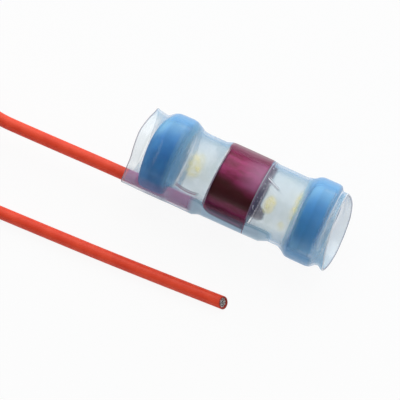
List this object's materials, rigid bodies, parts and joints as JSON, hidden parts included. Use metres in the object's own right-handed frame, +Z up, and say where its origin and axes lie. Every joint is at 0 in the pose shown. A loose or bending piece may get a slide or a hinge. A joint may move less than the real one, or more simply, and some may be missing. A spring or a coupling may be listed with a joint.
{
  "type": "solder seal wire connector",
  "caption": "Heat-shrink solder sleeve with a fitted lead: clear film over blue sealing rings and a coated solder ring, which joins the lead to a cable slid into its bore.",
  "frame": {"origin": "on the surface that the sleeve lies on, under the middle of the sleeve", "axes": "+X along the sleeve, away from the end where the lead enters; +Z up from the surface"},
  "size_m": [0.0488, 0.0166, 0.0072],
  "materials": {
    "shrink_film": "clear, faintly blue, glossy",
    "sealing_ring": "translucent blue, satin",
    "solder_coating": "dark red lacquer on solder, glossy",
    "tinned_strands": "tinned, bright",
    "lead_insulation": "orange-red, satin",
    "tie": "white, matt"
  },
  "bodies": {
    "root": {"heat_shrink_sleeve": "shrink_film", "sealing_ring_lead_side": "sealing_ring", "sealing_ring_far_side": "sealing_ring", "solder_ring": "solder_coating", "strands_in_sleeve": "tinned_strands", "strands_free_end": "tinned_strands", "lead_out": "lead_insulation", "lead_return": "lead_insulation", "lead_coil": "lead_insulation", "coil_tie": "tie"}
  },
  "joints": []
}
